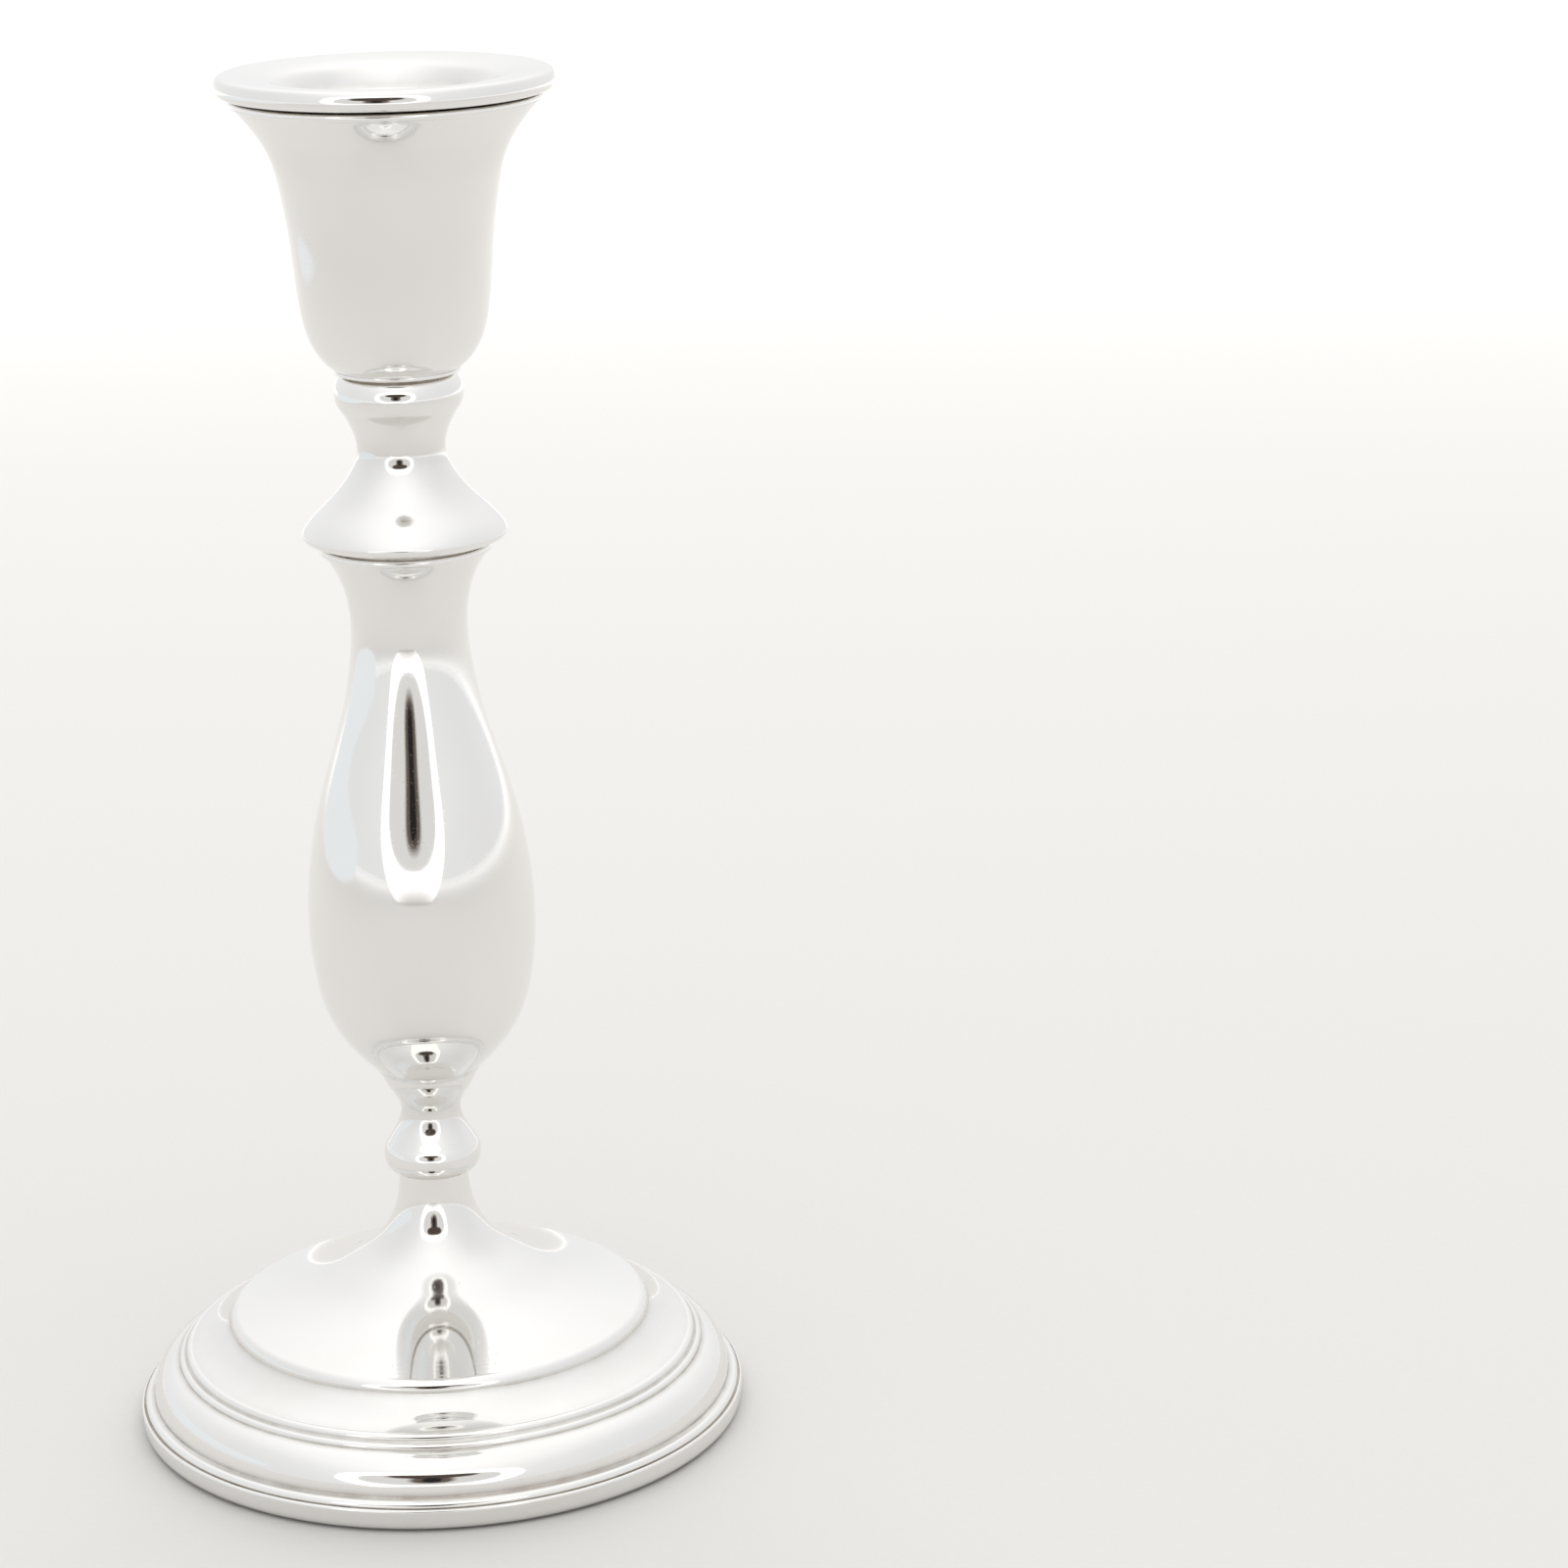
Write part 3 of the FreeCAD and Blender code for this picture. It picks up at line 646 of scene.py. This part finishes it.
def felt_pad():
    """Felt disc, slightly uneven in its edge and on its face, as cut felt is."""
    outer = [(0, 0), (PLATE_R, 0), (PLATE_R, FELT_TOP_Z), (0, FELT_TOP_Z)]
    obj = turned(
        "felt_pad_look", "stick", outer, [], segments=360, radius=0.45, step=1.1, wobble=0.0
    )
    rng = np.random.default_rng(7)
    n = len(obj.data.vertices)
    co = np.zeros(n * 3)
    obj.data.vertices.foreach_get("co", co)
    co = co.reshape(-1, 3)
    r = np.hypot(co[:, 0], co[:, 1])
    fuzz = np.abs(rng.normal(0, 1, n))
    edge_width, skin, ragged, nap = 0.6, 0.3, 0.0016, 0.035
    edge = (r > (PLATE_R - edge_width) * MM).astype(float)
    under = (co[:, 2] < skin * MM).astype(float)
    co[:, :2] *= (1 - edge * fuzz * ragged)[:, None]
    co[:, 2] += under * (1 - edge) * np.clip(fuzz, 0, 2.2) * nap * MM
    obj.data.vertices.foreach_set("co", co.ravel())
    obj.data.update()
    return dressed(obj, FELT, FELT)


for make in (
    nozzle_pan, nozzle_tube, nozzle_floor, cup, cup_rim_wire, cup_foot_ring, socket_liner, socket_floor,
    upper_knop, upper_knop_plate, baluster, baluster_rim_wire, lower_knop, base, base_edge_band, felt_pad,
):
    make()

STEEL, RESIN, SHEET = steel("steel_machined"), resin("filler_resin"), sheet_steel("steel_sheet")
for names, material in (
    (("tie_rod", "top_washer", "top_nut", "bottom_washer", "bottom_nut"), STEEL),
    (("upper_knop_loading", "stem_loading", "base_loading"), RESIN),
    (("base_plate",), SHEET),
):
    for node in names:
        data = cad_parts[node].data
        data.materials.clear()
        data.materials.append(material)

# Studio ------------------------------------------------------------------------------------------
AIM = Vector((0, 0, 0.1))              # the height that lights and cards face
FLOOR_REACH = 7.0
LOWEST_CARD_Z = 0.004


def way_to(azimuth, elevation):
    """Direction of a place round the stick, in degrees. Azimuth 0 is in front, at -Y, and 90 is at +X."""
    a, e = math.radians(azimuth), math.radians(elevation)
    return Vector((math.sin(a) * math.cos(e), -math.cos(a) * math.cos(e), math.sin(e)))


def studio_floor():
    """Matt pale paper, painted paler far from the stick: painted light where the lamps fall off."""
    s = Shader("floor_paper")
    grain = s.noise(s.place(), 900.0, 3.0, 0.6)
    paper = s.mix(grain, (0.560, 0.546, 0.531, 1), (0.585, 0.571, 0.556, 1))
    # Painted light: paler with distance from the stick, standing in for light that doesn't reach the far
    # floor.
    from_stick = s.node("VectorMath", {0: s.place()}, operation="LENGTH").outputs["Value"]
    far = s.node(
        "MapRange", {"Value": from_stick, "From Min": 0.7, "From Max": 2.7}, interpolation_type="SMOOTHSTEP"
    ).outputs[0]
    s.put(s.bsdf.inputs["Base Color"], s.mix(far, paper, (0.93, 0.93, 0.925, 1)))
    s.bsdf.inputs["Roughness"].default_value = 0.9
    s.bsdf.inputs["Specular IOR Level"].default_value = 0.1
    corners = [(x * FLOOR_REACH, y * FLOOR_REACH, 0) for x, y in ((-1, -1), (1, -1), (1, 1), (-1, 1))]
    mesh = bpy.data.meshes.new("floor")
    mesh.from_pydata(corners, [], [(0, 1, 2, 3)])
    mesh.materials.append(s.material)
    floor = bpy.data.objects.new("floor", mesh)
    bpy.context.scene.collection.objects.link(floor)


def softbox(name, azimuth, elevation, distance, width, height, radiance):
    """Soft light that faces the stick, and isn't mirrored in the silver."""
    light = bpy.data.lights.new(name, "AREA")
    light.shape = "RECTANGLE"
    light.size, light.size_y = width, height
    light.energy = radiance * math.pi * width * height
    obj = bpy.data.objects.new(name, light)
    way = way_to(azimuth, elevation)
    obj.location = AIM + way * distance
    obj.rotation_mode = "QUATERNION"
    obj.rotation_quaternion = way.to_track_quat("Z", "Y")
    obj.visible_camera = False
    obj.visible_glossy = False
    bpy.context.scene.collection.objects.link(obj)


def card_material(name, colour, glow):
    """Even glow, let through where the card fades out."""
    s = Shader(name)
    s.bsdf.inputs["Base Color"].default_value = (0, 0, 0, 1)
    s.bsdf.inputs["Roughness"].default_value = 0.9
    s.bsdf.inputs["Specular IOR Level"].default_value = 0.0
    s.bsdf.inputs["Emission Color"].default_value = (*colour, 1)
    s.bsdf.inputs["Emission Strength"].default_value = glow
    s.put(s.bsdf.inputs["Alpha"], s.node("Attribute", attribute_name="fade").outputs["Fac"])
    return s.material


def oval_patch(name, azimuth, elevation, across, up, down, colour, glow, distance=1.05, band=None, soft=0.2):
    """Glowing card that only reflections see: a squarish oval on a sphere round the stick.

    across, up and down are its half sizes in degrees. With band, only a band that wide along its edge is
    made; without it, the card fades out over the soft share of its size."""
    if band:
        loops = [(across, up, down, 1), (across - band, up - band, down - band, 1)]
    else:
        loops = [(across * k, up * k, down * k, fade) for k, fade in ((1, 0), (1 - soft, 1), (0, 1))]
    count, squareness = 96, 0.8
    verts, faces, fades = [], [], []
    for wide, over, under, fade in loops:
        for i in range(count):
            turn = 2 * math.pi * i / count
            x, y = (math.copysign(abs(v) ** squareness, v) for v in (math.cos(turn), math.sin(turn)))
            way = way_to(azimuth + wide * x, elevation + (over if y > 0 else under) * y)
            place = AIM + way * distance
            verts.append((place.x, place.y, max(LOWEST_CARD_Z, place.z)))
            fades.append(fade)
    for loop in range(len(loops) - 1):
        for i in range(count):
            a, b = loop * count + i, loop * count + (i + 1) % count
            faces.append((a, b, b + count, a + count))
    mesh = bpy.data.meshes.new(name)
    mesh.from_pydata(verts, [], faces)
    mesh.attributes.new("fade", "FLOAT", "POINT").data.foreach_set("value", np.array(fades, np.float32))
    mesh.materials.append(card_material(name, colour, glow))
    obj = bpy.data.objects.new(name, mesh)
    bpy.context.scene.collection.objects.link(obj)
    obj.visible_camera = False
    obj.visible_diffuse = False
    obj.visible_shadow = False


def tent_of_light():
    """Soft light all round: brightest overhead and at the back, falling off low down and to the sides."""
    world = bpy.data.worlds.new("studio")
    bpy.context.scene.world = world
    world.use_nodes = True
    w = Nodes(world.node_tree)
    direction = w.node("TexCoord").outputs["Generated"]
    aside, behind, high = w.node("SeparateXYZ", {"Vector": direction}).outputs
    centred = w.math("SUBTRACT", 1.0, w.math("POWER", w.math("ABSOLUTE", aside), 1.6), clamp=True)
    lifted = w.math("MULTIPLY", w.math("ADD", high, 0.12, clamp=True), centred)
    lifted = w.math("ADD", lifted, w.math("MULTIPLY", w.math("MAXIMUM", behind, 0.0), 0.16))
    tone = w.node("ValToRGB", {"Fac": lifted})
    low, top = tone.color_ramp.elements
    low.position, low.color = 0.0, (0.865, 0.872, 0.882, 1)
    top.position, top.color = 1.0, (1.20, 1.20, 1.20, 1)
    tone.color_ramp.elements.new(0.35).color = (0.945, 0.949, 0.956, 1)
    background = w.tree.nodes["Background"]
    w.put(background.inputs["Color"], tone.outputs["Color"])
    background.inputs["Strength"].default_value = 1.0


def long_lens_camera():
    """Camera in front of the stick and a little to its right, looking slightly down."""
    data = bpy.data.cameras.new("camera")
    data.lens = 100.1
    data.sensor_width = 36.0
    camera = bpy.data.objects.new("camera", data)
    camera.matrix_world = (
        Matrix.Translation((0.0600, -0.6835, 0.3084))
        @ Matrix.Rotation(math.radians(90 - 16.32), 4, "X")
        @ Matrix.Rotation(math.radians(-1.17), 4, "Z")
    )
    bpy.context.scene.collection.objects.link(camera)
    bpy.context.scene.camera = camera


studio_floor()
tent_of_light()
softbox("light_over", 20, 72, 1.50, 1.4, 1.2, 0.85)
softbox("light_back", 180, 33, 2.20, 3.6, 1.8, 1.9)

# What the silver mirrors: a white tent with a lit edge, someone with a camera in its opening, and a window
oval_patch("tent_edge", -2, 20, 37, 22, 27, (1.0, 0.995, 0.985), 1.40, band=9.0)
oval_patch("tent_inside", -2, 20, 27.5, 12.5, 17.5, (1.0, 0.985, 0.97), 0.80, distance=1.08, soft=0.02)
oval_patch("photographer", -1, 15, 10.0, 15, 10.0, (0.17, 0.135, 0.115), 0.8, distance=1.00, soft=0.3)
oval_patch("shoulders", -1, 27, 20.0, 6, 6.0, (0.10, 0.075, 0.06), 0.8, distance=0.99, soft=0.15)
oval_patch("lens", -1, 15, 4.5, 9, 7, (0.02, 0.018, 0.018), 1.0, distance=0.97, soft=0.3)
oval_patch("shade_in_front", -1, -8, 24, 7, 12, (0.60, 0.565, 0.545), 1.0, distance=0.94, soft=0.7)
oval_patch("window_left", -98, 1, 36, 7, 8, (0.90, 0.94, 0.97), 1.0, distance=0.60, soft=0.1)

long_lens_camera()
bpy.context.scene.view_settings.view_transform = "Standard"
